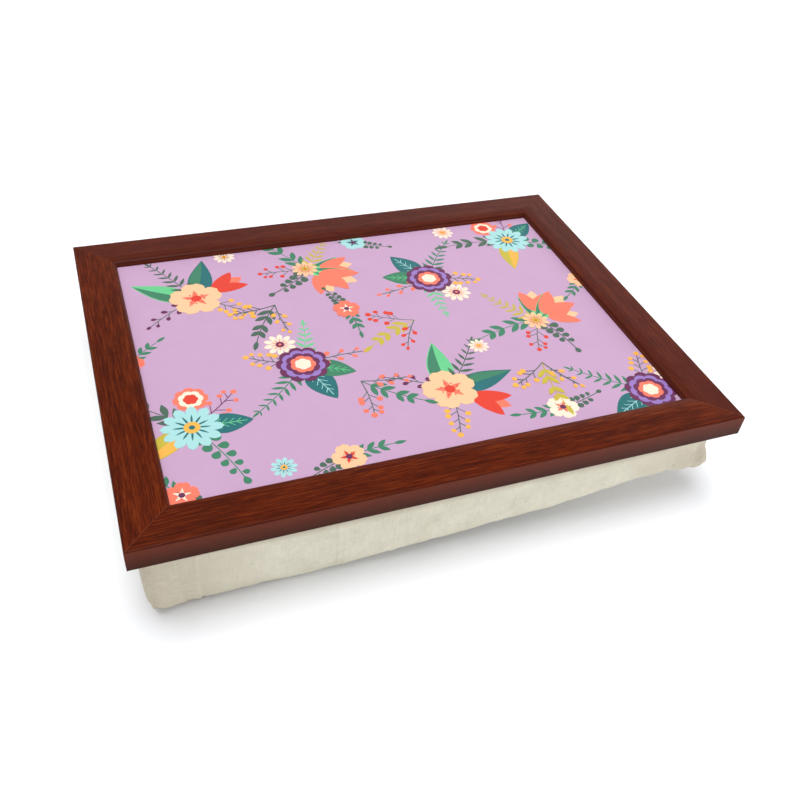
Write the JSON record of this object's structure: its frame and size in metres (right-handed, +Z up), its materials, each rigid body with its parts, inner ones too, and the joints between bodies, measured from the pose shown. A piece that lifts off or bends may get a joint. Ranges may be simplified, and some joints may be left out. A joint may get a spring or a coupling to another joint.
{
  "type": "padded lap tray",
  "caption": "Rectangular lap tray: mitred wooden frame round a recessed printed panel, on a bead-filled calico cushion stapled under the frame.",
  "frame": {"origin": "centre of the tray's outline, on the surface that the cushion stands on", "axes": "+X to the right along the front rail, +Y from the front rail to the back rail, +Z up"},
  "size_m": [0.42, 0.32, 0.078],
  "materials": {
    "mahogany": "satin",
    "print_face": "satin",
    "fibreboard": "matte",
    "backing_paper": "matte",
    "nail_steel": "satin",
    "calico": "matte",
    "lining_cloth": "matte",
    "beads": "matte"
  },
  "bodies": {
    "root": {"front_rail": "mahogany", "right_rail": "mahogany", "back_rail": "mahogany", "left_rail": "mahogany", "v_nails_front_left": "nail_steel", "v_nails_front_right": "nail_steel", "v_nails_back_right": "nail_steel", "v_nails_back_left": "nail_steel", "print_laminate": "print_face", "tray_board": "fibreboard", "backing_sheet": "backing_paper", "panel_points_front": "nail_steel", "panel_points_right": "nail_steel", "panel_points_back": "nail_steel", "panel_points_left": "nail_steel", "cushion_lining": "lining_cloth", "cushion_hem": "calico", "hem_staples_front": "nail_steel", "hem_staples_right": "nail_steel", "hem_staples_back": "nail_steel", "hem_staples_left": "nail_steel", "cushion_cover": "calico", "bead_fill": "beads"}
  },
  "joints": []
}
